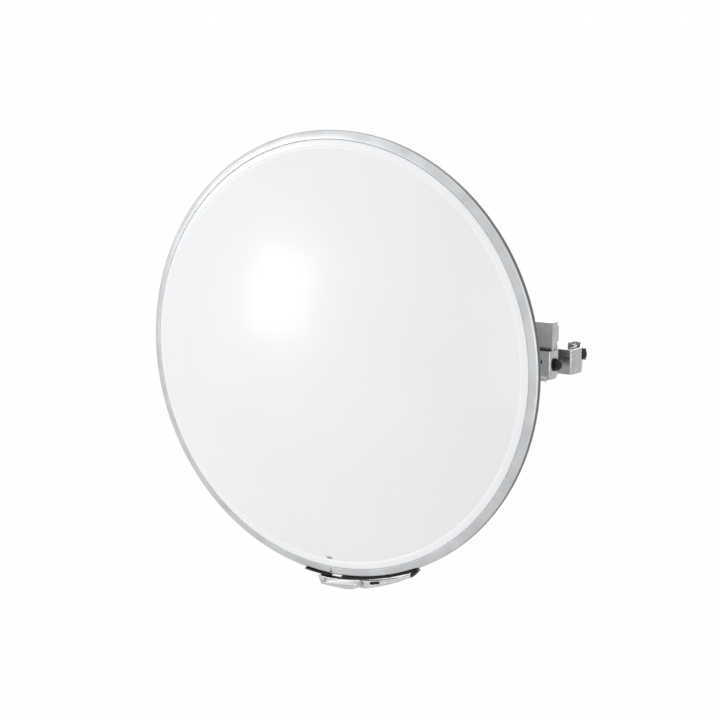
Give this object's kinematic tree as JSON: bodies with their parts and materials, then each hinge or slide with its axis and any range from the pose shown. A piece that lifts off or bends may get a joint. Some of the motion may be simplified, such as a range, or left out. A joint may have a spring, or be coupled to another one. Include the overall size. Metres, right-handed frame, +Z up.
{
  "type": "satellite dish",
  "caption": "Radome-covered dish antenna with a drum-latch clamp band, a tilting back frame, a bayonet radio port and a folded steel pole clamp.",
  "frame": {"origin": "on the pole's axis, at the pole clamp's mid-height", "axes": "+Z up along the pole, the dish faces -Y, +X to the right seen from the front"},
  "size_m": [0.5799, 0.2942, 0.5962],
  "materials": {
    "radome_white": "smooth moulded, satin gloss",
    "dish_white": "powder coat, satin",
    "seal_rubber": "matt",
    "band_steel": "rolled, satin",
    "latch_steel": "zinc plated, fine grain",
    "bracket_steel": "galvanised",
    "zinc_steel": "zinc plated",
    "black_steel": "black oxide, satin",
    "black_plastic": "moulded, fine grain",
    "feed_plastic": "turned polymer",
    "bare_aluminium": "machined",
    "cast_alloy": "die cast, tumbled"
  },
  "bodies": {
    "mast": {"tilt_bracket": "bracket_steel", "mast_hook": "bracket_steel", "fixed_saddle": "cast_alloy", "saddle_bolts": "zinc_steel", "clamp_nut": "black_steel", "pivot_bolt": "black_steel", "pivot_washers": "black_steel", "pivot_cap_nut": "black_steel"},
    "dish": {"reflector": "dish_white", "radome": "radome_white", "radome_gasket": "seal_rubber", "clamp_band": "band_steel", "end_strap_left": "black_steel", "end_strap_right": "black_steel", "strap_rivets": "zinc_steel", "latch_pivot_pin": "zinc_steel", "hub_plate": "bracket_steel", "hub_bolts": "zinc_steel", "hub_washers": "zinc_steel", "hub_nuts": "zinc_steel", "feed_tube": "bare_aluminium", "feed_cone": "feed_plastic", "sub_reflector": "bare_aluminium", "port_socket": "bare_aluminium", "port_screws": "zinc_steel", "port_seal": "seal_rubber", "port_ring_clip": "zinc_steel", "back_frame": "bracket_steel", "tilt_channel": "bracket_steel"},
    "jaw": {"moving_saddle": "cast_alloy", "clamp_screw": "black_steel"},
    "lever": {"latch_lever": "latch_steel", "lever_tip": "black_plastic", "link_pivot_pin": "zinc_steel"},
    "link": {"latch_link": "latch_steel", "link_hook_pin": "zinc_steel"},
    "lock_ring": {"port_lock_ring": "black_plastic"}
  },
  "joints": [
    {"name": "dish_tilt", "type": "hinge", "parent": "mast", "child": "dish", "pos_m": [0.0105, -0.064, 0.003], "axis": [1, 0, 0], "range_deg": [-20, 20]},
    {"name": "jaw_slide", "type": "slide", "parent": "mast", "child": "jaw", "axis": [0.9135, 0.4067, 0], "range_m": [0, 0.003]},
    {"name": "latch_open", "type": "hinge", "parent": "dish", "child": "lever", "pos_m": [-0.21735, -0.165, -0.29387], "axis": [0, 1, 0], "range_deg": [0, 150]},
    {"name": "link_fold", "type": "hinge", "parent": "lever", "child": "link", "pos_m": [-0.19539, -0.165, -0.2906], "axis": [0, 1, 0], "range_deg": [-150, 0]},
    {"name": "port_lock", "type": "hinge", "parent": "dish", "child": "lock_ring", "pos_m": [-0.23, -0.01584, 0.005], "axis": [0, 1, 0], "range_deg": [0, 30]}
  ],
  "couplings": [
    {"joint": "link_fold", "follows": "latch_open", "ratio": -1}
  ]
}
